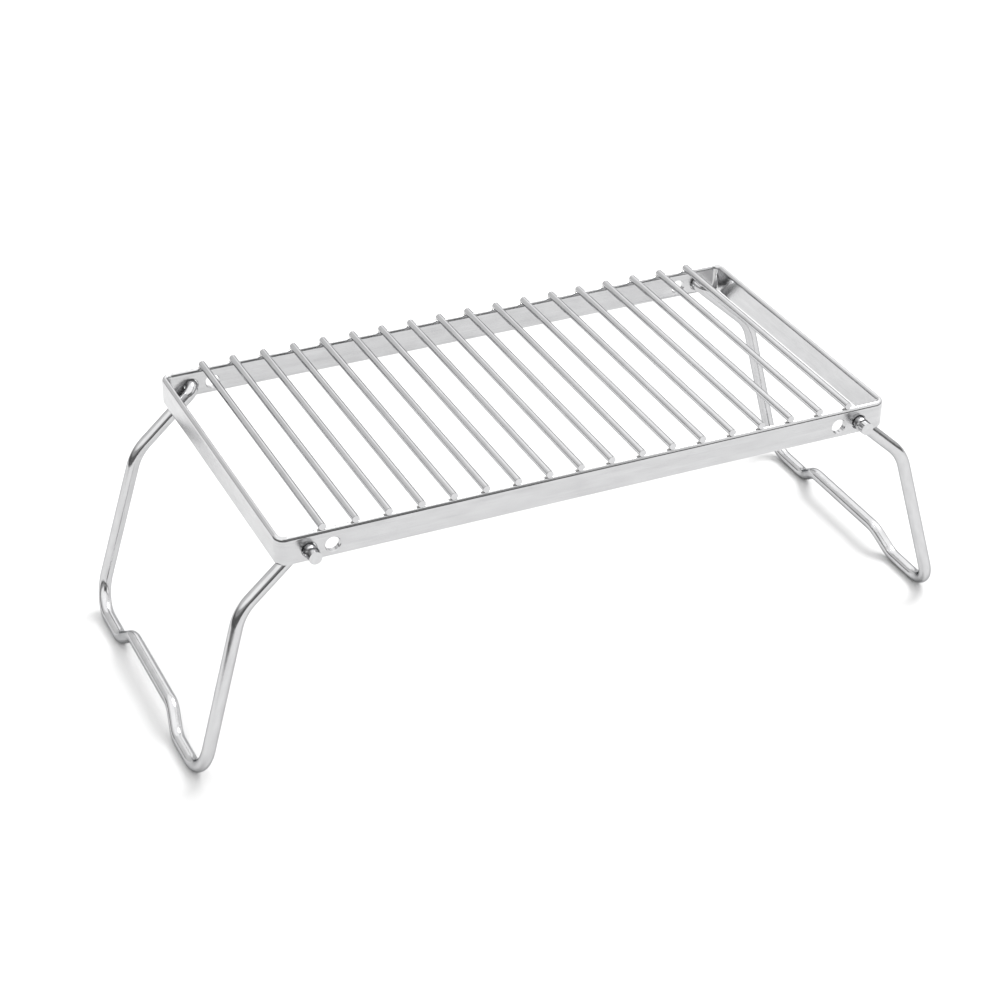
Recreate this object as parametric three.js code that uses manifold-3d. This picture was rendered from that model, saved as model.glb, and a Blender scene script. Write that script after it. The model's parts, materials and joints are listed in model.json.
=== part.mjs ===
/**
 * Folding camp grill: eighteen round bars welded across a frame of bent flat strip,
 * which stands on two U-shaped wire legs. The ends of each leg turn outwards through
 * holes in the frame's long sides, and each leg folds inwards on them, under the rack.
 *
 * Millimetres, +Z up. The origin is on the ground under the middle of the rack, +X runs
 * along the rack's length, and -Y is its front.
 */
import * as THREE from 'three';
import { mergeVertices } from 'three/addons/utils/BufferGeometryUtils.js';
import Module from 'manifold-3d';

// Frame: one flat strip, set on edge and bent into a rectangle with rounded corners.
const FRAME_LENGTH = 300;
const FRAME_WIDTH = 160;
const STRIP_HEIGHT = 14;
const STRIP_THICKNESS = 2.9;
const STRIP_CHAMFER = 0.6;
const CORNER_RADIUS = 5.5;
const CORNER_FACETS = 6;

// Cooking bars: round rod, laid across the frame and welded to its top edge.
const BAR_COUNT = 18;
const BAR_DIAMETER = 3.4;
const BAR_LENGTH = 158;
const BAR_SPREAD = 258.2; // from the first bar's axis to the last one's
const BAR_SETBACK = 0.2; // of the bars' front ends from the frame's front face
const BAR_SIDES = 12;

// Holes in the long sides: a pivot hole near each corner and an empty one beside it.
const PIVOT_REACH = 135.4; // from the middle of the rack to a leg's pivot
const PIVOT_DROP = 7.9; // from the strip's top edge down to the holes' axes
const HOLE_DIAMETER = 6.8;
const HOLE_SPACING = 10.7;
const HOLE_SIDES = 24;

// Legs: one wire each. Places are measured outwards and downwards from the pivot axis.
const WIRE_DIAMETER = 6;
const WIRE_SIDES = 12;
const PIN_TIP = 87.6; // from the rack's middle plane to the tip of a pin
const TOP_SPREAD = 73.4; // from the middle plane to the wire's centre, pin to knee
const FOOT_SPREAD = 77.2; // the same at the foot: the uprights splay a little
const KNEE = { out: 30.3, down: 27.6 };
const FOOT = { out: 52.9, down: 107.9 };
const ARCH_RISE = 9; // the base wire's middle is cranked up off the ground
const ARCH_TOP = 29.5; // from the middle plane to the upper end of a crank
const ARCH_SPRING = 42.5; // and to its lower end
const BEND = { pin: 4, knee: 25, foot: 15, arch: 12 }; // centreline radii
const BEND_STEP = THREE.MathUtils.degToRad(13); // the most that one facet of a bend turns

// A regular section with flat sides has its corners a little outside the round one,
// so that it has the same area. Its flats are then a little inside.
const cornerRadius = (diameter, sides) =>
  (diameter / 2) * Math.sqrt((2 * Math.PI) / (sides * Math.sin((2 * Math.PI) / sides)));
const flatRadius = (diameter, sides) =>
  cornerRadius(diameter, sides) * Math.cos(Math.PI / sides);

const PIVOT_HEIGHT = FOOT.down + flatRadius(WIRE_DIAMETER, WIRE_SIDES);
const RIM_HEIGHT = PIVOT_HEIGHT + PIVOT_DROP;

const satinStrip = new THREE.MeshStandardMaterial({
  color: 0xd3d4d6,
  roughness: 0.38,
  metalness: 1,
});
const drawnRod = new THREE.MeshStandardMaterial({
  color: 0xc9cacc,
  roughness: 0.26,
  metalness: 1,
});
const polishedWire = new THREE.MeshStandardMaterial({
  color: 0xc5c6c9,
  roughness: 0.18,
  metalness: 1,
});

const wasm = await Module();
wasm.setup();

function toSolid(geometry) {
  const bare = geometry.clone();
  bare.deleteAttribute('normal');
  bare.deleteAttribute('uv');
  const merged = mergeVertices(bare);
  return new wasm.Manifold(
    new wasm.Mesh({
      numProp: 3,
      vertProperties: new Float32Array(merged.attributes.position.array),
      triVerts: new Uint32Array(merged.index.array),
    }),
  );
}

function toGeometry(solid) {
  const mesh = solid.getMesh();
  const geometry = new THREE.BufferGeometry();
  geometry.setAttribute('position', new THREE.BufferAttribute(mesh.vertProperties, 3));
  geometry.setIndex(new THREE.BufferAttribute(mesh.triVerts, 1));
  geometry.computeVertexNormals();
  return geometry;
}

function roundedRectangle(PathType, length, width, radius) {
  const x = length / 2 - radius;
  const y = width / 2 - radius;
  const quarter = Math.PI / 2;
  const path = new PathType();
  path.moveTo(x + radius, -y);
  path.absarc(x, y, radius, 0, quarter);
  path.absarc(-x, y, radius, quarter, 2 * quarter);
  path.absarc(-x, -y, radius, 2 * quarter, 3 * quarter);
  path.absarc(x, -y, radius, 3 * quarter, 4 * quarter);
  return path;
}

function stripRing() {
  const outline = roundedRectangle(THREE.Shape, FRAME_LENGTH, FRAME_WIDTH, CORNER_RADIUS);
  outline.holes.push(
    roundedRectangle(
      THREE.Path,
      FRAME_LENGTH - 2 * STRIP_THICKNESS,
      FRAME_WIDTH - 2 * STRIP_THICKNESS,
      CORNER_RADIUS - STRIP_THICKNESS,
    ),
  );
  const ring = new THREE.ExtrudeGeometry(outline, {
    depth: STRIP_HEIGHT - 2 * STRIP_CHAMFER,
    curveSegments: CORNER_FACETS,
    bevelThickness: STRIP_CHAMFER,
    bevelSize: STRIP_CHAMFER,
    bevelOffset: -STRIP_CHAMFER,
    bevelSegments: 1,
  });
  return ring.translate(0, 0, RIM_HEIGHT - STRIP_HEIGHT + STRIP_CHAMFER);
}

function makeFrame() {
  const drill = new THREE.CylinderGeometry(
    HOLE_DIAMETER / 2,
    HOLE_DIAMETER / 2,
    FRAME_WIDTH + 2 * STRIP_THICKNESS,
    HOLE_SIDES,
  );
  let solid = toSolid(stripRing());
  for (const side of [-1, 1]) {
    for (const reach of [PIVOT_REACH, PIVOT_REACH - HOLE_SPACING]) {
      const hole = drill.clone().translate(side * reach, 0, PIVOT_HEIGHT);
      solid = solid.subtract(toSolid(hole));
    }
  }
  const frame = new THREE.Mesh(toGeometry(solid), satinStrip);
  frame.name = 'rack_frame';
  return frame;
}

function makeBars() {
  const radius = cornerRadius(BAR_DIAMETER, BAR_SIDES);
  const rod = new THREE.CylinderGeometry(radius, radius, BAR_LENGTH, BAR_SIDES);
  rod.rotateY(Math.PI / BAR_SIDES); // a flat on the frame and a flat on top
  const axisHeight = RIM_HEIGHT + flatRadius(BAR_DIAMETER, BAR_SIDES);
  const middle = -FRAME_WIDTH / 2 + BAR_SETBACK + BAR_LENGTH / 2;
  const pitch = BAR_SPREAD / (BAR_COUNT - 1);
  return Array.from({ length: BAR_COUNT }, (_, i) => {
    const bar = new THREE.Mesh(rod, drawnRod);
    bar.name = `cooking_bar_${String(i + 1).padStart(2, '0')}`;
    bar.position.set(i * pitch - BAR_SPREAD / 2, middle, axisHeight);
    return bar;
  });
}

/** A wire's centreline: straight runs joined by circular bends, each in equal facets. */
class BentWire extends THREE.Curve {
  constructor(corners, radii) {
    super();
    const last = corners.length - 1;
    this.stations = [];
    this.addStation(corners[0], corners[1].clone().sub(corners[0]));
    for (let i = 1; i < last; i++) {
      this.addBend(corners[i - 1], corners[i], corners[i + 1], radii[i - 1]);
    }
    this.addStation(corners[last], corners[last].clone().sub(corners[last - 1]));
    this.steps = this.stations.length - 1;
  }

  addStation(point, direction) {
    this.stations.push({ point: point.clone(), tangent: direction.clone().normalize() });
  }

  addBend(before, corner, after, radius) {
    const arriving = corner.clone().sub(before).normalize();
    const leaving = after.clone().sub(corner).normalize();
    const turn = arriving.angleTo(leaving);
    const axis = arriving.clone().cross(leaving).normalize();
    const towardsCentre = axis.clone().cross(arriving);
    const start = corner.clone().addScaledVector(arriving, -radius * Math.tan(turn / 2));
    const centre = start.clone().addScaledVector(towardsCentre, radius);
    const facets = Math.ceil(turn / BEND_STEP);
    for (let i = 0; i <= facets; i++) {
      const angle = (turn * i) / facets;
      const spoke = towardsCentre.clone().multiplyScalar(-radius).applyAxisAngle(axis, angle);
      this.addStation(spoke.add(centre), arriving.clone().applyAxisAngle(axis, angle));
    }
  }

  // Every station is a section, so a step along the curve is a step from one to the next.
  getUtoTmapping(u) {
    return u;
  }

  getPoint(t, target = new THREE.Vector3()) {
    return target.copy(this.stations[Math.round(t * this.steps)].point);
  }

  getTangent(t, target = new THREE.Vector3()) {
    return target.copy(this.stations[Math.round(t * this.steps)].tangent);
  }
}

/** One leg in its own frame: the pivot axis is its Y axis, and the leg leans out to +X. */
function legCentreline() {
  const knee = new THREE.Vector3(KNEE.out, TOP_SPREAD, -KNEE.down);
  const foot = new THREE.Vector3(FOOT.out, FOOT_SPREAD, -FOOT.down);
  const shinLean = Math.atan2(FOOT.out - KNEE.out, FOOT.down - KNEE.down);
  const raised = (y, rise) =>
    new THREE.Vector3(
      FOOT.out - rise * Math.sin(shinLean),
      y,
      rise * Math.cos(shinLean) - FOOT.down,
    );
  const half = [
    new THREE.Vector3(0, PIN_TIP, 0),
    new THREE.Vector3(0, TOP_SPREAD, 0),
    knee,
    foot,
    raised(ARCH_SPRING, 0),
    raised(ARCH_TOP, ARCH_RISE),
  ];
  const mirrored = half.map((point) => point.clone().setY(-point.y)).reverse();
  const radii = [BEND.pin, BEND.knee, BEND.foot, BEND.arch, BEND.arch];
  return new BentWire([...half, ...mirrored], [...radii, ...radii.toReversed()]);
}

/** The wire's section, turned so that one of its flats lies on the ground at the base. */
function wireSection(centreline) {
  const frames = centreline.computeFrenetFrames(centreline.steps, false);
  const middle = Math.floor(centreline.steps / 2);
  const down = new THREE.Vector3(0, 0, -1);
  const flat = Math.atan2(
    down.dot(frames.binormals[middle]),
    down.dot(frames.normals[middle]),
  );
  const radius = cornerRadius(WIRE_DIAMETER, WIRE_SIDES);
  const corners = Array.from({ length: WIRE_SIDES }, (_, i) => {
    const angle = flat + ((i + 0.5) * 2 * Math.PI) / WIRE_SIDES;
    return new THREE.Vector2(radius * Math.cos(angle), radius * Math.sin(angle));
  });
  return new THREE.Shape(corners);
}

function makeLegs() {
  const centreline = legCentreline();
  const wire = new THREE.ExtrudeGeometry(wireSection(centreline), {
    steps: centreline.steps,
    extrudePath: centreline,
  });
  const sides = [
    { name: 'left_leg', side: -1, facing: Math.PI },
    { name: 'right_leg', side: 1, facing: 0 },
  ];
  return sides.map(({ name, side, facing }) => {
    const leg = new THREE.Mesh(wire, polishedWire);
    leg.name = name;
    leg.position.set(side * PIVOT_REACH, 0, PIVOT_HEIGHT);
    leg.rotation.z = facing;
    return leg;
  });
}

const rack = new THREE.Group();
rack.add(makeFrame(), ...makeBars());

const grill = new THREE.Group();
grill.add(rack, ...makeLegs());

export default grill;
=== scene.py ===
"""A folding camp grill in stainless steel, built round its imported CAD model.

Metres, +Z up, the front is -Y. The sections follow the grill as it is put together:
the strip frame, the cooking bars, their welds, the two legs, and then the studio.
"""

import json
import math

import bmesh
import bpy
from mathutils import Matrix, Vector


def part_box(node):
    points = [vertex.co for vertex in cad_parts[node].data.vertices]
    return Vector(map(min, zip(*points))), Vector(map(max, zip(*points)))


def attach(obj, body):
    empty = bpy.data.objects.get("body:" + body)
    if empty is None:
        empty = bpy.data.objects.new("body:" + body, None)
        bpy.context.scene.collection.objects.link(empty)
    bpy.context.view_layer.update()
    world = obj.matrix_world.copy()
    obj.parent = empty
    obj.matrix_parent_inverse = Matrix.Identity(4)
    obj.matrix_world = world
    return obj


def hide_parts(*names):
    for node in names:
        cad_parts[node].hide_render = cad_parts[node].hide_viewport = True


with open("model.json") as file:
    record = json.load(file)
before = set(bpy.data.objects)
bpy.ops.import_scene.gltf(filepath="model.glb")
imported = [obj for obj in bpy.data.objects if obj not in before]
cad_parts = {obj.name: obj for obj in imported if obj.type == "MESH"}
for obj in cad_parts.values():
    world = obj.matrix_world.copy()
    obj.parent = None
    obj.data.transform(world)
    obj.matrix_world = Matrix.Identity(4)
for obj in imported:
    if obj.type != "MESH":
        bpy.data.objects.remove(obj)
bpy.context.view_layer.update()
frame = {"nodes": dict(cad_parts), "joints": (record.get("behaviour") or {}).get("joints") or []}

# ---------------------------------------------------------------------------
# Rack frame. One stainless flat strip with rolled round edges, set on edge and
# bent into a rectangle. Two holes are drilled near each end of its long sides,
# and their burrs are taken off with a small countersink.
# ---------------------------------------------------------------------------

MM = 0.001

frame_low, frame_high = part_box("rack_frame")
RIM_HEIGHT = frame_high.z
STRIP_HEIGHT = frame_high.z - frame_low.z
STRIP_THICKNESS = 2.9 * MM
STRIP_EDGE_ROUND = 0.495  # the rolled edge's radius, as a share of the thickness
STRIP_EDGE_STRETCH = 1.4  # the rolled edge reaches this much further down than across
STRIP_EDGE_STEPS = 9
STRIP_MIDDLE = frame_high - Vector((1, 1, 0)) * STRIP_THICKNESS / 2
CORNER_RADIUS = 5.5 * MM
CORNER_STEPS = 14
PIVOT = {joint["child"]: Vector(joint["pos_m"]) for joint in frame["joints"]}
PIVOT_REACH = PIVOT["right_leg"].x
PIVOT_HEIGHT = PIVOT["right_leg"].z
HOLE_SPACING = 10.7 * MM
HOLE_RADIUS = 3.4 * MM
COUNTERSINK = 0.3 * MM
DRILL_PAST = 0.5 * MM  # how far the drill reaches past either face of the strip
HOLE_SIDES = 48
SHARP_ANGLE = math.radians(38)  # faces that meet at more than this keep a crisp edge

STEEL_DULL = "#BABABB"
STEEL_WORN = "#C9C9CA"


def linear(hex_colour):
    """An sRGB hex colour as linear RGBA."""
    channels = [int(hex_colour[i : i + 2], 16) / 255 for i in (1, 3, 5)]
    return (*[c / 12.92 if c <= 0.04045 else ((c + 0.055) / 1.055) ** 2.4 for c in channels], 1)


def add(tree, kind, inputs=None, **settings):
    """Adds a node to a tree. An input takes a value, a socket to link, or a list of sockets."""
    made = tree.nodes.new(kind)
    for name, value in settings.items():
        setattr(made, name, value)
    for key, value in (inputs or {}).items():
        for source in value if isinstance(value, list) else [value]:
            if isinstance(source, bpy.types.NodeSocket):
                tree.links.new(source, made.inputs[key])
            else:
                made.inputs[key].default_value = source
    return made


def new_shape_tree(name, sizes):
    """A geometry tree whose named inputs are a starting shape and these sizes."""
    tree = bpy.data.node_groups.new(name, "GeometryNodeTree")
    tree.interface.new_socket("Shape", in_out="INPUT", socket_type="NodeSocketGeometry")
    tree.interface.new_socket("Shape", in_out="OUTPUT", socket_type="NodeSocketGeometry")
    for size in sizes:
        kind = "NodeSocketInt" if isinstance(sizes[size], int) else "NodeSocketFloat"
        tree.interface.new_socket(size, in_out="INPUT", socket_type=kind)
    return tree, add(tree, "NodeGroupInput").outputs


def end_shape_tree(tree, shape, material):
    """Ends a geometry tree with real faces in one material."""
    real = add(tree, "GeometryNodeRealizeInstances", {"Geometry": shape}).outputs[0]
    smooth = add(tree, "GeometryNodeSetShadeSmooth", {"Geometry": real}).outputs[0]
    painted = add(tree, "GeometryNodeSetMaterial", {"Geometry": smooth, "Material": material})
    add(tree, "NodeGroupOutput", {"Shape": painted.outputs[0]})


def new_path(name, corners, closed=False):
    """A line through corners given as (point, bend radius, girth), for a tree to follow."""
    path = bpy.data.meshes.new(name)
    count = len(corners)
    edges = [(i, (i + 1) % count) for i in range(count if closed else count - 1)]
    path.from_pydata([point for point, bend, girth in corners], edges, [])
    bends = path.attributes.new("bend", "FLOAT", "POINT")
    bends.data.foreach_set("value", [bend for point, bend, girth in corners])
    girths = path.attributes.new("girth", "FLOAT", "POINT")
    girths.data.foreach_set("value", [girth for point, bend, girth in corners])
    return path


def plain_mesh(host, name):
    """The host's evaluated shape as a plain mesh on a new object, without its modifiers."""
    scene_state = bpy.context.evaluated_depsgraph_get()
    mesh = bpy.data.meshes.new_from_object(
        host.evaluated_get(scene_state), preserve_all_data_layers=True, depsgraph=scene_state
    )
    host.modifiers.clear()
    bpy.data.objects.remove(host)
    mesh.name = name
    piece = bpy.data.objects.new(name, mesh)
    bpy.context.scene.collection.objects.link(piece)
    return piece


def grow(name, tree, start, sizes):
    """Runs a geometry tree on a starting mesh with these sizes, and keeps a plain mesh."""
    host = bpy.data.objects.new(name + "_start", start)
    bpy.context.scene.collection.objects.link(host)
    shape = host.modifiers.new("shape", "NODES")
    shape.node_group = tree
    for socket in tree.interface.items_tree:
        if socket.name in sizes:
            shape[socket.identifier] = sizes[socket.name]
    return plain_mesh(host, name)


def new_material(name):
    """A material with an empty tree, its object coordinates and its shader, already in place."""
    material = bpy.data.materials.new(name)
    material.use_nodes = True
    tree = material.node_tree
    tree.nodes.clear()
    place = add(tree, "ShaderNodeTexCoord").outputs["Object"]
    shader = add(tree, "ShaderNodeBsdfPrincipled")
    add(tree, "ShaderNodeOutputMaterial", {"Surface": shader.outputs["BSDF"]})
    return material, tree, place, shader


def grain(tree, place, size, detail=3.0):
    """Noise whose spots are as long as size says along each axis, in metres."""
    stretched = add(
        tree, "ShaderNodeMapping", {"Vector": place, "Scale": tuple(1 / length for length in size)}
    ).outputs[0]
    return add(
        tree, "ShaderNodeTexNoise", {"Vector": stretched, "Scale": 1.0, "Detail": detail}
    ).outputs["Fac"]


NOISE_LOW = 0.3  # nearly all of a noise pattern lies between these two
NOISE_HIGH = 0.7


def between(tree, pattern, low, high):
    """A noise pattern stretched to run from low to high."""
    return add(
        tree,
        "ShaderNodeMapRange",
        {
            "Value": pattern,
            "From Min": NOISE_LOW,
            "From Max": NOISE_HIGH,
            "To Min": low,
            "To Max": high,
        },
    ).outputs["Result"]


def two_tones(tree, pattern, first, second):
    """A colour that goes from the first to the second with a noise pattern."""
    share = between(tree, pattern, 0.0, 1.0)
    mixed = add(
        tree,
        "ShaderNodeMix",
        {"Factor": share, "A": linear(first), "B": linear(second)},
        data_type="RGBA",
    )
    return mixed.outputs["Result"]


# Cold rolled stainless strip with a fine belt grain along its length. The eye gets a pale
# satin face with faint lengthwise lines and a soft cloudiness, and brighter rolled edges.
STRIP_GRAIN_LENGTH = 30 * MM
STRIP_GRAIN_WIDTH = 0.35 * MM  # coarser than a real 0.05 mm belt grain, so that it shows
STRIP_CLOUD = 14 * MM
SCRATCH_LENGTH = 9 * MM
SCRATCH_WIDTH = 0.12 * MM
STRIP_FACE_ROUGHNESS = (0.27, 0.2)
STRIP_EDGE_ROUGHNESS = (0.13, 0.09)
GRAIN_DEPTH = 0.005 * MM
SCRATCH_DEPTH = 0.006 * MM
FACE_END = STRIP_HEIGHT / 2 - STRIP_THICKNESS * 0.8  # satin as far as this from the middle
EDGE_START = STRIP_HEIGHT / 2 - STRIP_THICKNESS * 0.5  # and bright from this on

strip_line_height = RIM_HEIGHT - STRIP_HEIGHT / 2

satin_strip, tree, place, shader = new_material("satin_rolled_stainless_strip")
height = add(tree, "ShaderNodeSeparateXYZ", {0: place}).outputs["Z"]
lines = grain(tree, place, (STRIP_GRAIN_LENGTH, STRIP_GRAIN_LENGTH, STRIP_GRAIN_WIDTH), 4.0)
clouds = grain(tree, place, (STRIP_CLOUD, STRIP_CLOUD, STRIP_CLOUD / 3))
scratches = grain(tree, place, (SCRATCH_LENGTH, SCRATCH_LENGTH, SCRATCH_WIDTH), 1.0)
blend = add(tree, "ShaderNodeMath", {0: lines, 1: clouds}, operation="ADD").outputs[0]
half = add(tree, "ShaderNodeMath", {0: blend, 1: 0.5}, operation="MULTIPLY").outputs[0]
tree.links.new(two_tones(tree, half, STEEL_DULL, STEEL_WORN), shader.inputs["Base Color"])
from_middle = add(
    tree, "ShaderNodeMath", {0: height, 1: strip_line_height}, operation="SUBTRACT"
).outputs[0]
from_middle = add(tree, "ShaderNodeMath", {0: from_middle}, operation="ABSOLUTE").outputs[0]
on_edge = add(
    tree,
    "ShaderNodeMapRange",
    {"Value": from_middle, "From Min": FACE_END, "From Max": EDGE_START},
).outputs["Result"]
face_gloss = between(tree, half, *STRIP_FACE_ROUGHNESS)
edge_gloss = between(tree, half, *STRIP_EDGE_ROUGHNESS)
gloss = add(tree, "ShaderNodeMix", {"Factor": on_edge, "A": face_gloss, "B": edge_gloss})
tree.links.new(gloss.outputs["Result"], shader.inputs["Roughness"])
shader.inputs["Metallic"].default_value = 1.0
relief = add(
    tree, "ShaderNodeBump", {"Height": lines, "Strength": 0.25, "Distance": GRAIN_DEPTH}
).outputs[0]
relief = add(
    tree,
    "ShaderNodeBump",
    {"Height": scratches, "Strength": 0.15, "Distance": SCRATCH_DEPTH, "Normal": relief},
).outputs[0]
tree.links.new(relief, shader.inputs["Normal"])

strip_sizes = {
    "Height": STRIP_HEIGHT,
    "Thickness": STRIP_THICKNESS,
    "Edge Stretch": STRIP_EDGE_STRETCH,
    "Edge Round": STRIP_EDGE_ROUND,
    "Edge Steps": STRIP_EDGE_STEPS,
    "Corner Steps": CORNER_STEPS,
}
tree, size = new_shape_tree("bent_strip", strip_sizes)
line = add(tree, "GeometryNodeMeshToCurve", {"Mesh": size["Shape"]}).outputs[0]
bend = add(tree, "GeometryNodeInputNamedAttribute", {"Name": "bend"}, data_type="FLOAT")
line = add(
    tree,
    "GeometryNodeFilletCurve",
    {"Curve": line, "Radius": bend.outputs["Attribute"], "Count": size["Corner Steps"]},
    mode="POLY",
).outputs[0]
line = add(tree, "GeometryNodeSetCurveNormal", {"Curve": line}, mode="Z_UP").outputs[0]
squat = add(
    tree, "ShaderNodeMath", {0: size["Height"], 1: size["Edge Stretch"]}, operation="DIVIDE"
).outputs[0]
section = add(
    tree,
    "GeometryNodeCurvePrimitiveQuadrilateral",
    {"Width": size["Thickness"], "Height": squat},
).outputs[0]
rolled = add(
    tree, "ShaderNodeMath", {0: size["Thickness"], 1: size["Edge Round"]}, operation="MULTIPLY"
).outputs[0]
section = add(
    tree,
    "GeometryNodeFilletCurve",
    {"Curve": section, "Radius": rolled, "Count": size["Edge Steps"]},
    mode="POLY",
).outputs[0]
stretch = add(tree, "ShaderNodeCombineXYZ", {"X": 1.0, "Y": size["Edge Stretch"], "Z": 1.0})
section = add(
    tree, "GeometryNodeTransform", {"Geometry": section, "Scale": stretch.outputs[0]}
).outputs[0]
strip = add(tree, "GeometryNodeCurveToMesh", {"Curve": line, "Profile Curve": section}).outputs[0]
end_shape_tree(tree, strip, satin_strip)

strip_bend = CORNER_RADIUS - STRIP_THICKNESS / 2
strip_corners = [
    (Vector((x * STRIP_MIDDLE.x, y * STRIP_MIDDLE.y, strip_line_height)), strip_bend, 1.0)
    for x, y in ((-1, -1), (1, -1), (1, 1), (-1, 1))
]
strip = grow("rack_strip", tree, new_path("strip_line", strip_corners, closed=True), strip_sizes)

drill = bmesh.new()
drill_stations = (
    (-STRIP_THICKNESS / 2 - DRILL_PAST, HOLE_RADIUS + COUNTERSINK + DRILL_PAST),
    (-STRIP_THICKNESS / 2 + COUNTERSINK, HOLE_RADIUS),
    (STRIP_THICKNESS / 2 - COUNTERSINK, HOLE_RADIUS),
    (STRIP_THICKNESS / 2 + DRILL_PAST, HOLE_RADIUS + COUNTERSINK + DRILL_PAST),
)
spare_x = PIVOT_REACH - HOLE_SPACING
for side in (-1, 1):
    for hole_x in (PIVOT_REACH, spare_x, -spare_x, -PIVOT_REACH):
        rings = []
        for across, radius in drill_stations:
            ring = []
            for i in range(HOLE_SIDES):
                turn = 2 * math.pi * i / HOLE_SIDES
                x = hole_x + radius * math.cos(turn)
                z = PIVOT_HEIGHT + radius * math.sin(turn)
                ring.append(drill.verts.new((x, side * STRIP_MIDDLE.y + across, z)))
            rings.append(ring)
        for near, far in zip(rings, rings[1:]):
            for i in range(HOLE_SIDES):
                j = (i + 1) % HOLE_SIDES
                drill.faces.new((near[i], near[j], far[j], far[i]))
        drill.faces.new(rings[0])
        drill.faces.new(rings[-1])
bmesh.ops.recalc_face_normals(drill, faces=drill.faces)
drill_mesh = bpy.data.meshes.new("drill")
drill.to_mesh(drill_mesh)
drill.free()
drill_mesh.materials.append(satin_strip)
drill_piece = bpy.data.objects.new("drill", drill_mesh)
bpy.context.scene.collection.objects.link(drill_piece)

drilling = strip.modifiers.new("holes", "BOOLEAN")
drilling.object = drill_piece
drilling.operation = "DIFFERENCE"
drilling.solver = "EXACT"
strip = plain_mesh(strip, "rack_strip_frame")
bpy.data.objects.remove(drill_piece)
strip.data.shade_smooth()
strip.data.set_sharp_from_angle(angle=SHARP_ANGLE)
flats_lead = strip.modifiers.new("flats_lead", "WEIGHTED_NORMAL")
flats_lead.keep_sharp = True
flats_lead.weight = 80  # over 50, so the large flats set the shading
strip = plain_mesh(strip, "rack_strip_frame")
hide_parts("rack_frame")
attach(strip, "rack")

# ---------------------------------------------------------------------------
# Cooking bars. Eighteen drawn stainless rods, sheared to length with their ends
# rounded over, laid across the strip's top edge a constant distance apart.
# ---------------------------------------------------------------------------

bar_names = sorted(name for name in frame["nodes"] if name.startswith("cooking_bar_"))
first_low, first_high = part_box(bar_names[0])
last_low, last_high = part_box(bar_names[-1])
BAR_DIAMETER = first_high.z - first_low.z
BAR_LENGTH = first_high.y - first_low.y
BAR_SPREAD = last_low.x - first_low.x
BAR_CENTRE = (first_low + last_high) / 2
BAR_END_ROUND = 0.7 * MM
BAR_END_STEPS = 5
BAR_FACE_GIRTH = 1 - BAR_END_ROUND / (BAR_DIAMETER / 2)  # the flat cut face's radius, as a share
BAR_SIDES = 28
BAR_WANDER = 0.12 * MM  # how far a bar may lie off centre, along its own length

# Drawn stainless rod, pulled through a die and left bright. The eye gets a clean round
# highlight, broken up by faint draw lines along the bar, and a faint dark rim painted round
# each cut end: painted shade, standing in for the dark that the rounded end reflects. The
# rim is placed by the bar's girth, which is 1 along the bar.
STEEL = "#C0C0C1"
STEEL_GRAZED = "#B4B5B6"  # what the steel gives back to the eye at a grazing angle
# painted shade: the colour of the dark ring painted round each rounded cut end, for the dark it
# reflects
ROD_END_PAINTED_SHADE = "#4A4A4B"
DRAW_LINE_LENGTH = 45 * MM
DRAW_LINE_WIDTH = 0.3 * MM  # coarser than real draw lines, so that they show
DRAW_LINE_DEPTH = 0.004 * MM
HANDLING_MARK = 5 * MM
ROD_ROUGHNESS = (0.07, 0.14)
RIM_START = (0.94, 0.87)  # the girths between which the rim darkens from the bar's side
RIM_STOP = (BAR_FACE_GIRTH + 0.01, BAR_FACE_GIRTH + 0.08)  # and from the cut face
RIM_DARKNESS = (0.4, 0.8)

drawn_rod, tree, place, shader = new_material("bright_drawn_stainless_rod")
lines = grain(tree, place, (DRAW_LINE_WIDTH, DRAW_LINE_LENGTH, DRAW_LINE_WIDTH))
marks = grain(tree, place, (HANDLING_MARK, HANDLING_MARK * 2, HANDLING_MARK), 4.0)
girth = add(tree, "ShaderNodeAttribute", attribute_name="girth").outputs["Fac"]
past_bar = add(
    tree,
    "ShaderNodeMapRange",
    {"Value": girth, "From Min": RIM_START[0], "From Max": RIM_START[1]},
).outputs["Result"]
before_face = add(
    tree,
    "ShaderNodeMapRange",
    {"Value": girth, "From Min": RIM_STOP[0], "From Max": RIM_STOP[1]},
).outputs["Result"]
ring = add(tree, "ShaderNodeMath", {0: past_bar, 1: before_face}, operation="MULTIPLY").outputs[0]
patchy = between(tree, marks, *RIM_DARKNESS)
ring = add(tree, "ShaderNodeMath", {0: ring, 1: patchy}, operation="MULTIPLY").outputs[0]
steel = two_tones(tree, marks, STEEL, STEEL_WORN)
# paints the dark ring on each rounded bar end, a painted shade standing in for a dark reflection
paint = add(
    tree,
    "ShaderNodeMix",
    {"Factor": ring, "A": steel, "B": linear(ROD_END_PAINTED_SHADE)},
    data_type="RGBA",
)
tree.links.new(paint.outputs["Result"], shader.inputs["Base Color"])
shader.inputs["Metallic"].default_value = 1.0
shader.inputs["Specular Tint"].default_value = linear(STEEL_GRAZED)
blend = add(tree, "ShaderNodeMath", {0: lines, 1: marks}, operation="ADD").outputs[0]
half = add(tree, "ShaderNodeMath", {0: blend, 1: 0.5}, operation="MULTIPLY").outputs[0]
tree.links.new(between(tree, half, *ROD_ROUGHNESS), shader.inputs["Roughness"])
relief = add(
    tree, "ShaderNodeBump", {"Height": lines, "Strength": 0.3, "Distance": DRAW_LINE_DEPTH}
).outputs[0]
tree.links.new(relief, shader.inputs["Normal"])

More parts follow.
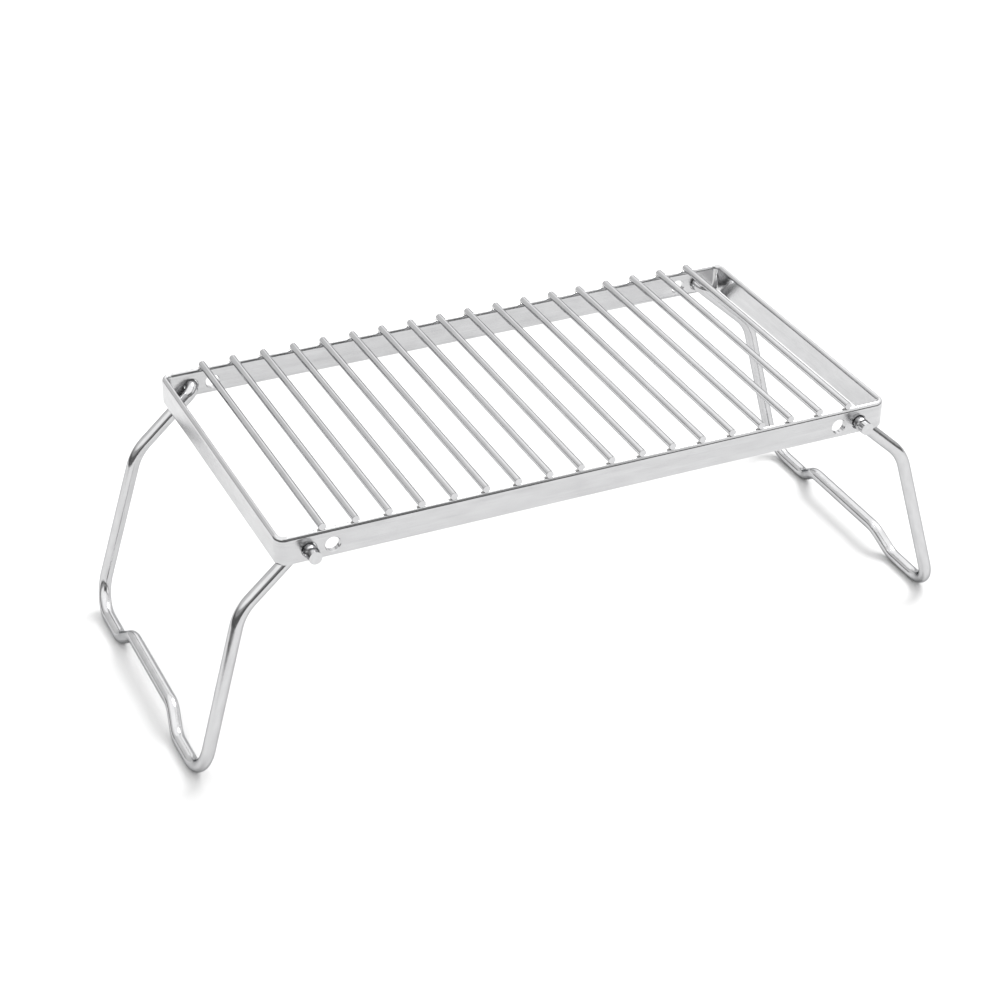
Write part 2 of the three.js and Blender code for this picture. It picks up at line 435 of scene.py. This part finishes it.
bar_sizes = {
    "Count": len(bar_names),
    "Spread": BAR_SPREAD,
    "Radius": BAR_DIAMETER / 2,
    "Sides": BAR_SIDES,
    "Wander": BAR_WANDER,
    "Seed": 7,
}
tree, size = new_shape_tree("row_of_bars", bar_sizes)
line = add(tree, "GeometryNodeMeshToCurve", {"Mesh": size["Shape"]}).outputs[0]
girth = add(tree, "GeometryNodeInputNamedAttribute", {"Name": "girth"}, data_type="FLOAT")
line = add(
    tree, "GeometryNodeSetCurveRadius", {"Curve": line, "Radius": girth.outputs["Attribute"]}
).outputs[0]
section = add(
    tree, "GeometryNodeCurvePrimitiveCircle", {"Resolution": size["Sides"], "Radius": size["Radius"]}
).outputs[0]
bar = add(
    tree,
    "GeometryNodeCurveToMesh",
    {"Curve": line, "Profile Curve": section, "Fill Caps": True},
).outputs[0]
gaps = add(tree, "ShaderNodeMath", {0: size["Count"], 1: 1.0}, operation="SUBTRACT").outputs[0]
pitch = add(tree, "ShaderNodeMath", {0: size["Spread"], 1: gaps}, operation="DIVIDE").outputs[0]
start = add(tree, "ShaderNodeMath", {0: size["Spread"], 1: -0.5}, operation="MULTIPLY").outputs[0]
row = add(
    tree,
    "GeometryNodeMeshLine",
    {
        "Count": size["Count"],
        "Start Location": add(tree, "ShaderNodeCombineXYZ", {"X": start}).outputs[0],
        "Offset": add(tree, "ShaderNodeCombineXYZ", {"X": pitch}).outputs[0],
    },
).outputs[0]
wander_low = add(
    tree, "ShaderNodeMath", {0: size["Wander"], 1: -1.0}, operation="MULTIPLY"
).outputs[0]
wander_y = add(
    tree,
    "FunctionNodeRandomValue",
    {"Min": wander_low, "Max": size["Wander"], "Seed": size["Seed"]},
    data_type="FLOAT",
).outputs["Value"]
row = add(
    tree,
    "GeometryNodeSetPosition",
    {"Geometry": row, "Offset": add(tree, "ShaderNodeCombineXYZ", {"Y": wander_y}).outputs[0]},
).outputs[0]
bars = add(tree, "GeometryNodeInstanceOnPoints", {"Points": row, "Instance": bar}).outputs[0]
end_shape_tree(tree, bars, drawn_rod)

bar_line = []
for step in range(BAR_END_STEPS + 1):
    turn = math.pi / 2 * step / BAR_END_STEPS
    y = BAR_LENGTH / 2 - BAR_END_ROUND * (1 - math.cos(turn))
    girth = 1 - BAR_END_ROUND * (1 - math.sin(turn)) / (BAR_DIAMETER / 2)
    bar_line.insert(step, (Vector((0, -y, 0)), 0.0, girth))
    bar_line.insert(step + 1, (Vector((0, y, 0)), 0.0, girth))
bars = grow("cooking_bars", tree, new_path("bar_line", bar_line), bar_sizes)
bars.data.transform(Matrix.Translation(BAR_CENTRE))
bars.data.set_sharp_from_angle(angle=SHARP_ANGLE)
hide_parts(*bar_names)
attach(bars, "rack")

# ---------------------------------------------------------------------------
# Welds. Each bar is resistance welded to the strip at both ends, which squeezes
# a small bead of steel out on either side of it, down onto the rolled edge.
# ---------------------------------------------------------------------------

BEAD_WIDTH = 0.32 * MM  # these three are from the bead's middle to its skin
BEAD_LENGTH = 0.8 * MM
BEAD_HEIGHT = 0.28 * MM
BEAD_SMALLEST = (0.8, 0.75, 0.8)  # as shares of those three
BEAD_LARGEST = (1.15, 1.25, 1.1)
BEAD_TURN = 0.3  # radians either way
BEAD_OUT = 0.4 * BAR_DIAMETER  # from the bar's axis
BEAD_UP = 0.1 * BEAD_HEIGHT  # above the strip's top edge
LUMP_PITCH = 1.3  # noise on a bead of radius 1, before it is scaled down
LUMP_DEPTH = 0.5

# Stainless that has been molten for an instant. The eye gets a small dull knuckle of metal,
# a little darker and warmer than the bars, with a pitted skin.
WELD_DULL = "#B3B1AE"
WELD_BRIGHT = "#C4C3C1"
WELD_PIT = 0.6 * MM
WELD_PIT_DEPTH = 0.05 * MM
WELD_ROUGHNESS = (0.28, 0.42)

weld_metal, tree, place, shader = new_material("resistance_welded_stainless")
skin = grain(tree, place, (WELD_PIT, WELD_PIT, WELD_PIT), 4.0)
tree.links.new(two_tones(tree, skin, WELD_DULL, WELD_BRIGHT), shader.inputs["Base Color"])
tree.links.new(between(tree, skin, *WELD_ROUGHNESS), shader.inputs["Roughness"])
shader.inputs["Metallic"].default_value = 1.0
shader.inputs["Specular Tint"].default_value = linear(STEEL_GRAZED)
relief = add(
    tree, "ShaderNodeBump", {"Height": skin, "Strength": 0.4, "Distance": WELD_PIT_DEPTH}
).outputs[0]
tree.links.new(relief, shader.inputs["Normal"])

bead_sizes = {"Width": BEAD_WIDTH, "Length": BEAD_LENGTH, "Height": BEAD_HEIGHT, "Seed": 11}
tree, size = new_shape_tree("weld_beads", bead_sizes)
drop = add(tree, "GeometryNodeMeshIcoSphere", {"Radius": 1.0, "Subdivisions": 3}).outputs[0]
lumps = add(tree, "ShaderNodeTexNoise", {"Scale": LUMP_PITCH, "Detail": 1.0}).outputs["Color"]
lumps = add(
    tree, "ShaderNodeVectorMath", {0: lumps, 1: (0.5, 0.5, 0.5)}, operation="SUBTRACT"
).outputs[0]
lumps = add(
    tree, "ShaderNodeVectorMath", {0: lumps, "Scale": LUMP_DEPTH}, operation="SCALE"
).outputs[0]
drop = add(tree, "GeometryNodeSetPosition", {"Geometry": drop, "Offset": lumps}).outputs[0]
oval = add(
    tree,
    "ShaderNodeCombineXYZ",
    {"X": size["Width"], "Y": size["Length"], "Z": size["Height"]},
).outputs[0]
drop = add(tree, "GeometryNodeTransform", {"Geometry": drop, "Scale": oval}).outputs[0]
bead_scale = add(
    tree,
    "FunctionNodeRandomValue",
    {"Min": BEAD_SMALLEST, "Max": BEAD_LARGEST, "Seed": size["Seed"]},
    data_type="FLOAT_VECTOR",
).outputs["Value"]
bead_turn = add(
    tree,
    "FunctionNodeRandomValue",
    {"Min": (0, 0, -BEAD_TURN), "Max": (0, 0, BEAD_TURN), "Seed": size["Seed"]},
    data_type="FLOAT_VECTOR",
).outputs["Value"]
beads = add(
    tree,
    "GeometryNodeInstanceOnPoints",
    {"Points": size["Shape"], "Instance": drop, "Scale": bead_scale, "Rotation": bead_turn},
).outputs[0]
end_shape_tree(tree, beads, weld_metal)

bead_places = []
for number in range(len(bar_names)):
    bar_x = BAR_CENTRE.x - BAR_SPREAD / 2 + BAR_SPREAD * number / (len(bar_names) - 1)
    for end in (-1, 1):
        for flank in (-1, 1):
            x = bar_x + flank * BEAD_OUT
            bead_places.append((x, end * STRIP_MIDDLE.y, RIM_HEIGHT + BEAD_UP))
bead_points = bpy.data.meshes.new("bead_points")
bead_points.from_pydata(bead_places, [], [])
beads = grow("bar_welds", tree, bead_points, bead_sizes)
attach(beads, "rack")

# ---------------------------------------------------------------------------
# Legs. Each is one polished stainless wire: two pins turned out through the frame's
# holes, two knees, and a base whose middle is cranked up off the ground. The pins are
# pinched just outside the frame, which raises two small ears that keep the leg in.
# ---------------------------------------------------------------------------

leg_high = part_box("right_leg")[1]
WIRE_RADIUS = leg_high.z - PIVOT_HEIGHT
PIN_TIP = leg_high.y
TOP_SPREAD = 73.4 * MM  # a spread is from the grill's middle line to the wire's
FOOT_SPREAD = 77.2 * MM
KNEE_OUT = 30.3 * MM  # an out and a drop are from the pivot
KNEE_DROP = 27.6 * MM
FOOT_OUT = 52.9 * MM
FOOT_DROP = PIVOT_HEIGHT - WIRE_RADIUS
ARCH_RISE = 9 * MM  # the base's raised middle, up the slope of the leg
ARCH_TOP = 29.5 * MM
ARCH_SPRING = 42.5 * MM
PIN_BEND = 4 * MM
KNEE_BEND = 25 * MM
FOOT_BEND = 15 * MM
ARCH_BEND = 12 * MM
PIN_END_ROUND = 1.2 * MM
WIRE_STEP = 0.4 * MM
WIRE_BEND_STEPS = 24
WIRE_SIDES = 36
PINCH_FROM_TIP = 4.6 * MM
PINCH_REACH = 1.5 * MM
PINCH_DEPTH = 0.5 * MM

# Drawn stainless wire, tumbled bright after bending. The eye gets long mirror streaks that
# run round every bend, softened by fine lines along the wire and by scuffs. The pattern is
# laid out on the straight wire, from the tree's "straight" attribute, so it bends with it.
WIRE_LINE_LENGTH = 40 * MM
WIRE_LINE_WIDTH = 0.45 * MM  # coarser than the real lines, so that they show
WIRE_LINE_DEPTH = 0.004 * MM
SCUFF = 7 * MM
WIRE_ROUGHNESS = (0.1, 0.2)

polished_wire, tree, place, shader = new_material("polished_stainless_wire")
straight = add(tree, "ShaderNodeAttribute", attribute_name="straight").outputs["Vector"]
lines = grain(tree, straight, (WIRE_LINE_WIDTH, WIRE_LINE_WIDTH, WIRE_LINE_LENGTH))
scuffs = grain(tree, straight, (SCUFF / 3, SCUFF / 3, SCUFF), 4.0)
tree.links.new(two_tones(tree, scuffs, STEEL, STEEL_WORN), shader.inputs["Base Color"])
shader.inputs["Metallic"].default_value = 1.0
shader.inputs["Specular Tint"].default_value = linear(STEEL_GRAZED)
blend = add(tree, "ShaderNodeMath", {0: lines, 1: scuffs}, operation="ADD").outputs[0]
half = add(tree, "ShaderNodeMath", {0: blend, 1: 0.5}, operation="MULTIPLY").outputs[0]
tree.links.new(between(tree, half, *WIRE_ROUGHNESS), shader.inputs["Roughness"])
relief = add(
    tree, "ShaderNodeBump", {"Height": lines, "Strength": 0.3, "Distance": WIRE_LINE_DEPTH}
).outputs[0]
tree.links.new(relief, shader.inputs["Normal"])

wire_sizes = {
    "Radius": WIRE_RADIUS,
    "Sides": WIRE_SIDES,
    "Bend Steps": WIRE_BEND_STEPS,
    "Step": WIRE_STEP,
    "End Round": PIN_END_ROUND,
    "Pinch From Tip": PINCH_FROM_TIP,
    "Pinch Reach": PINCH_REACH,
    "Pinch Depth": PINCH_DEPTH,
}
tree, size = new_shape_tree("bent_wire", wire_sizes)
line = add(tree, "GeometryNodeMeshToCurve", {"Mesh": size["Shape"]}).outputs[0]
bend = add(tree, "GeometryNodeInputNamedAttribute", {"Name": "bend"}, data_type="FLOAT")
line = add(
    tree,
    "GeometryNodeFilletCurve",
    {"Curve": line, "Radius": bend.outputs["Attribute"], "Count": size["Bend Steps"]},
    mode="POLY",
).outputs[0]
line = add(
    tree, "GeometryNodeResampleCurve", {"Curve": line, "Length": size["Step"]}, mode="LENGTH"
).outputs[0]
whole = add(tree, "GeometryNodeSplineLength").outputs["Length"]
along = add(tree, "GeometryNodeSplineParameter").outputs["Length"]
left = add(tree, "ShaderNodeMath", {0: whole, 1: along}, operation="SUBTRACT").outputs[0]
to_tip = add(tree, "ShaderNodeMath", {0: along, 1: left}, operation="MINIMUM").outputs[0]
line = add(
    tree,
    "GeometryNodeStoreNamedAttribute",
    {"Geometry": line, "Name": "along", "Value": along},
    data_type="FLOAT",
    domain="POINT",
).outputs[0]
line = add(
    tree,
    "GeometryNodeStoreNamedAttribute",
    {"Geometry": line, "Name": "to_tip", "Value": to_tip},
    data_type="FLOAT",
    domain="POINT",
).outputs[0]
inset = add(
    tree,
    "ShaderNodeMapRange",
    {"Value": to_tip, "From Max": size["End Round"], "To Min": 1.0, "To Max": 0.0},
).outputs["Result"]
inset = add(tree, "ShaderNodeMath", {0: inset, 1: inset}, operation="MULTIPLY").outputs[0]
reach = add(tree, "ShaderNodeMath", {0: 1.0, 1: inset}, operation="SUBTRACT").outputs[0]
reach = add(tree, "ShaderNodeMath", {0: reach}, operation="SQRT").outputs[0]
loss = add(tree, "ShaderNodeMath", {0: 1.0, 1: reach}, operation="SUBTRACT").outputs[0]
loss = add(tree, "ShaderNodeMath", {0: loss, 1: size["End Round"]}, operation="MULTIPLY").outputs[0]
loss = add(tree, "ShaderNodeMath", {0: loss, 1: size["Radius"]}, operation="DIVIDE").outputs[0]
girth = add(tree, "ShaderNodeMath", {0: 1.0, 1: loss}, operation="SUBTRACT").outputs[0]
line = add(tree, "GeometryNodeSetCurveRadius", {"Curve": line, "Radius": girth}).outputs[0]
section = add(
    tree, "GeometryNodeCurvePrimitiveCircle", {"Resolution": size["Sides"], "Radius": size["Radius"]}
).outputs[0]
section = add(
    tree,
    "GeometryNodeStoreNamedAttribute",
    {
        "Geometry": section,
        "Name": "round",
        "Value": add(tree, "GeometryNodeInputPosition").outputs[0],
    },
    data_type="FLOAT_VECTOR",
    domain="POINT",
).outputs[0]
wire = add(
    tree,
    "GeometryNodeCurveToMesh",
    {"Curve": line, "Profile Curve": section, "Fill Caps": True},
).outputs[0]
round_place = add(
    tree, "GeometryNodeInputNamedAttribute", {"Name": "round"}, data_type="FLOAT_VECTOR"
).outputs["Attribute"]
round_parts = add(tree, "ShaderNodeSeparateXYZ", {0: round_place}).outputs
wire_along = add(
    tree, "GeometryNodeInputNamedAttribute", {"Name": "along"}, data_type="FLOAT"
).outputs["Attribute"]
straight = add(
    tree, "ShaderNodeCombineXYZ", {"X": round_parts["X"], "Y": round_parts["Y"], "Z": wire_along}
).outputs[0]
wire = add(
    tree,
    "GeometryNodeStoreNamedAttribute",
    {"Geometry": wire, "Name": "straight", "Value": straight},
    data_type="FLOAT_VECTOR",
    domain="POINT",
).outputs[0]
wire_to_tip = add(
    tree, "GeometryNodeInputNamedAttribute", {"Name": "to_tip"}, data_type="FLOAT"
).outputs["Attribute"]
from_pinch = add(
    tree, "ShaderNodeMath", {0: wire_to_tip, 1: size["Pinch From Tip"]}, operation="SUBTRACT"
).outputs[0]
from_pinch = add(tree, "ShaderNodeMath", {0: from_pinch}, operation="ABSOLUTE").outputs[0]
pinch = add(
    tree,
    "ShaderNodeMapRange",
    {
        "Value": from_pinch,
        "From Max": size["Pinch Reach"],
        "To Min": size["Pinch Depth"],
        "To Max": 0.0,
    },
    interpolation_type="SMOOTHSTEP",
).outputs["Result"]
square_x = add(
    tree, "ShaderNodeMath", {0: round_parts["X"], 1: round_parts["X"]}, operation="MULTIPLY"
).outputs[0]
square_y = add(
    tree, "ShaderNodeMath", {0: round_parts["Y"], 1: round_parts["Y"]}, operation="MULTIPLY"
).outputs[0]
square_r = add(
    tree, "ShaderNodeMath", {0: size["Radius"], 1: size["Radius"]}, operation="MULTIPLY"
).outputs[0]
ears = add(tree, "ShaderNodeMath", {0: square_x, 1: square_y}, operation="SUBTRACT").outputs[0]
ears = add(tree, "ShaderNodeMath", {0: ears, 1: square_r}, operation="DIVIDE").outputs[0]
ears = add(tree, "ShaderNodeMath", {0: ears, 1: pinch}, operation="MULTIPLY").outputs[0]
outward = add(tree, "GeometryNodeInputNormal").outputs[0]
swelling = add(
    tree, "ShaderNodeVectorMath", {0: outward, "Scale": ears}, operation="SCALE"
).outputs[0]
wire = add(tree, "GeometryNodeSetPosition", {"Geometry": wire, "Offset": swelling}).outputs[0]
end_shape_tree(tree, wire, polished_wire)

lean = math.atan2(FOOT_OUT - KNEE_OUT, FOOT_DROP - KNEE_DROP)
arch_out = FOOT_OUT - ARCH_RISE * math.sin(lean)
arch_down = FOOT_DROP - ARCH_RISE * math.cos(lean)
half_wire = [
    (0.0, PIN_TIP, 0.0, 0.0),
    (0.0, TOP_SPREAD, 0.0, PIN_BEND),
    (KNEE_OUT, TOP_SPREAD, KNEE_DROP, KNEE_BEND),
    (FOOT_OUT, FOOT_SPREAD, FOOT_DROP, FOOT_BEND),
    (FOOT_OUT, ARCH_SPRING, FOOT_DROP, ARCH_BEND),
    (arch_out, ARCH_TOP, arch_down, ARCH_BEND),
]
for body, side in (("left_leg", -1), ("right_leg", 1)):
    corners = [
        (Vector((side * out, -side * spread, -drop)), bend, 1.0)
        for out, spread, drop, bend in half_wire
    ]
    corners += [
        (Vector((side * out, side * spread, -drop)), bend, 1.0)
        for out, spread, drop, bend in reversed(half_wire)
    ]
    leg = grow(body + "_wire", tree, new_path(body + "_line", corners), wire_sizes)
    leg.data.transform(Matrix.Translation(PIVOT[body]))
    leg.data.set_sharp_from_angle(angle=SHARP_ANGLE)
    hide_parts(body)
    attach(leg, body)

# ---------------------------------------------------------------------------
# Studio. A round pale floor, set off towards the back right so that the steel sees where
# it ends, a dark room with soft-edged bright screens, and one large soft lamp from high on
# the right. The screens and the dark between them draw the bright and dark lines in steel.
# ---------------------------------------------------------------------------

FLOOR_RADIUS = 0.78
FLOOR_CENTRE = Vector((0.2, 0.25, 0.0))
FLOOR_SIDES = 96
FLOOR_MOTTLE = 0.2

# Matt painted board. The eye gets an even pale ground that hardly reflects.
FLOOR_GREY = "#D6D6D6"
FLOOR_PALE = "#D8D8D8"

floor_paint, tree, place, shader = new_material("matt_white_studio_floor")
mottle = grain(tree, place, (FLOOR_MOTTLE, FLOOR_MOTTLE, FLOOR_MOTTLE))
tree.links.new(two_tones(tree, mottle, FLOOR_GREY, FLOOR_PALE), shader.inputs["Base Color"])
shader.inputs["Roughness"].default_value = 0.9
shader.inputs["Specular IOR Level"].default_value = 0.1

floor_shape = bmesh.new()
bmesh.ops.create_circle(floor_shape, cap_ends=True, segments=FLOOR_SIDES, radius=FLOOR_RADIUS)
bmesh.ops.translate(floor_shape, verts=floor_shape.verts, vec=FLOOR_CENTRE)
floor_mesh = bpy.data.meshes.new("studio_floor")
floor_shape.to_mesh(floor_mesh)
floor_shape.free()
floor_mesh.materials.append(floor_paint)
floor = bpy.data.objects.new("studio_floor", floor_mesh)
bpy.context.scene.collection.objects.link(floor)

room = bpy.data.worlds.new("studio_room")
room.use_nodes = True
bpy.context.scene.world = room
tree = room.node_tree
tree.nodes.clear()
direction = add(tree, "ShaderNodeTexCoord").outputs["Generated"]
toward = add(tree, "ShaderNodeSeparateXYZ", {0: direction}).outputs


def screen(brightness, *edges):
    """A bright area of the room. Each soft edge is (direction, where it starts, where full)."""
    light = brightness
    for way, start, full in edges:
        edge = add(
            tree,
            "ShaderNodeMapRange",
            {"Value": toward[way], "From Min": start, "From Max": full},
            interpolation_type="SMOOTHSTEP",
        ).outputs["Result"]
        light = add(tree, "ShaderNodeMath", {0: light, 1: edge}, operation="MULTIPLY").outputs[0]
    return light


DARK_ROOM = 0.18
overhead = screen(1.9, ("Z", 0.5, 0.66))
right_wall = screen(1.7, ("X", 0.3, 0.5), ("Y", 0.6, 0.4), ("Z", 0.0, 0.12))
high_back_right = screen(2.0, ("X", 0.05, 0.2), ("Y", -0.2, 0.1), ("Z", 0.2, 0.34))
low_back = screen(1.1, ("Y", -0.1, 0.2), ("Z", -0.16, -0.06), ("X", -0.68, -0.6))
high_back = screen(1.15, ("Y", -0.1, 0.2), ("Z", 0.16, 0.3))
high_left = screen(1.8, ("X", -0.4, -0.58), ("Y", 0.3, 0.1), ("Z", 0.2, 0.4))
dim_band = screen(0.6, ("Z", 0.08, 0.14), ("Z", 0.3, 0.22))
light = DARK_ROOM
for bright in (overhead, right_wall, high_back_right, low_back, high_back, high_left, dim_band):
    light = add(tree, "ShaderNodeMath", {0: light, 1: bright}, operation="MAXIMUM").outputs[0]
BACKDROP = {"Color": (1, 1, 1, 1), "Strength": 1.05}  # plain white behind the grill
seen = add(tree, "ShaderNodeLightPath").outputs["Is Camera Ray"]
soft = add(tree, "ShaderNodeBackground", {"Strength": light}).outputs[0]
white = add(tree, "ShaderNodeBackground", BACKDROP).outputs[0]
both = add(tree, "ShaderNodeMixShader", {0: seen, 1: soft, 2: white}).outputs[0]
add(tree, "ShaderNodeOutputWorld", {"Surface": both})

LAMP_FROM = Vector((0.6, 0.27, 1.0))
LAMP_STRENGTH = 2.2
LAMP_WIDTH = math.radians(30)  # wide enough for shadows with a soft edge
lamp_data = bpy.data.lights.new("soft_lamp", "SUN")
lamp_data.energy = LAMP_STRENGTH
lamp_data.angle = LAMP_WIDTH
lamp = bpy.data.objects.new("soft_lamp", lamp_data)
lamp.rotation_euler = LAMP_FROM.to_track_quat("Z", "Y").to_euler()
bpy.context.scene.collection.objects.link(lamp)

# The camera stands in front and to the left and looks down on the rack, along a line that
# passes a little aside from and above its middle.
AZIMUTH = math.radians(-24.854)
ELEVATION = math.radians(31.416)
ROLL = math.radians(0.536)
DISTANCE = 1.1372
ASIDE = -9.468 * MM
ABOVE = -52.453 * MM
LENS = 87.87  # millimetres, as the sensor's width is
SENSOR = 36
back = Vector(
    (
        math.sin(AZIMUTH) * math.cos(ELEVATION),
        -math.cos(AZIMUTH) * math.cos(ELEVATION),
        math.sin(ELEVATION),
    )
)
level_right = (-back).cross(Vector((0, 0, 1))).normalized()
level_up = level_right.cross(-back)
right = math.cos(ROLL) * level_right + math.sin(ROLL) * level_up
up = -math.sin(ROLL) * level_right + math.cos(ROLL) * level_up
camera_data = bpy.data.cameras.new("camera")
camera_data.lens = LENS
camera_data.sensor_width = SENSOR
camera = bpy.data.objects.new("camera", camera_data)
turn = Matrix((right, up, back)).transposed().to_4x4()
stand = Vector((0, 0, RIM_HEIGHT)) + back * DISTANCE + right * ASIDE + up * ABOVE
camera.matrix_world = Matrix.Translation(stand) @ turn
bpy.context.scene.collection.objects.link(camera)
bpy.context.scene.camera = camera

bpy.context.scene.view_settings.view_transform = "Standard"
